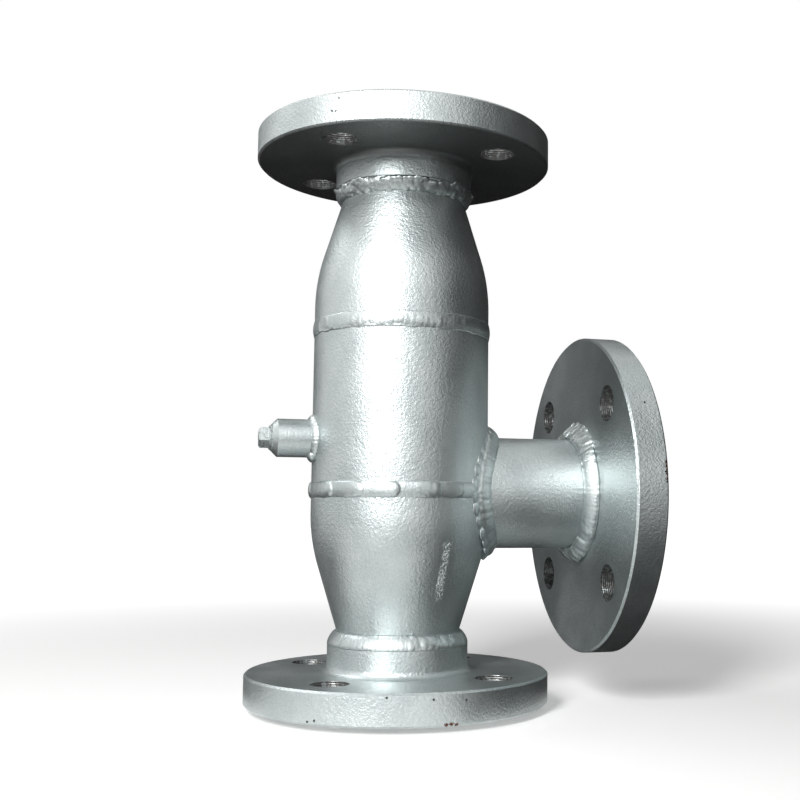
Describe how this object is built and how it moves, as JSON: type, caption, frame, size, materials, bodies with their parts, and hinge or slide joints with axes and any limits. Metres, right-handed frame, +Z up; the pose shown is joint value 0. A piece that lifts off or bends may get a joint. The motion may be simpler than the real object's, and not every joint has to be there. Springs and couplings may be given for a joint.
{
  "type": "steam water mixer",
  "caption": "Upright welded vessel with a bolted flange at each end, a flanged side branch, a plugged boss and a perforated tube inside, for mixing steam into water.",
  "frame": {"origin": "centre of the bottom flange's sealing face", "axes": "+Z up along the water way to the top flange, +X along the steam branch, the plugged boss along -X"},
  "size_m": [0.189, 0.165, 0.292],
  "materials": {
    "silver_paint": "aluminium paint, satin, grainy",
    "tube_steel": "drawn, dull",
    "bare_weld": "as welded, dull"
  },
  "bodies": {
    "root": {"bottom_flange": "silver_paint", "bottom_hub_weld": "silver_paint", "lower_reducer": "silver_paint", "lower_girth_weld": "silver_paint", "barrel": "silver_paint", "upper_girth_weld": "silver_paint", "upper_reducer": "silver_paint", "top_hub_weld": "silver_paint", "top_flange": "silver_paint", "branch_pipe": "silver_paint", "branch_saddle_weld": "silver_paint", "branch_flange_weld": "silver_paint", "branch_flange": "silver_paint", "plug_boss": "silver_paint", "plug_boss_weld": "silver_paint", "square_plug": "silver_paint", "water_tube": "tube_steel", "bottom_bore_weld": "bare_weld", "top_bore_weld": "bare_weld", "branch_bore_weld": "bare_weld"}
  },
  "joints": []
}
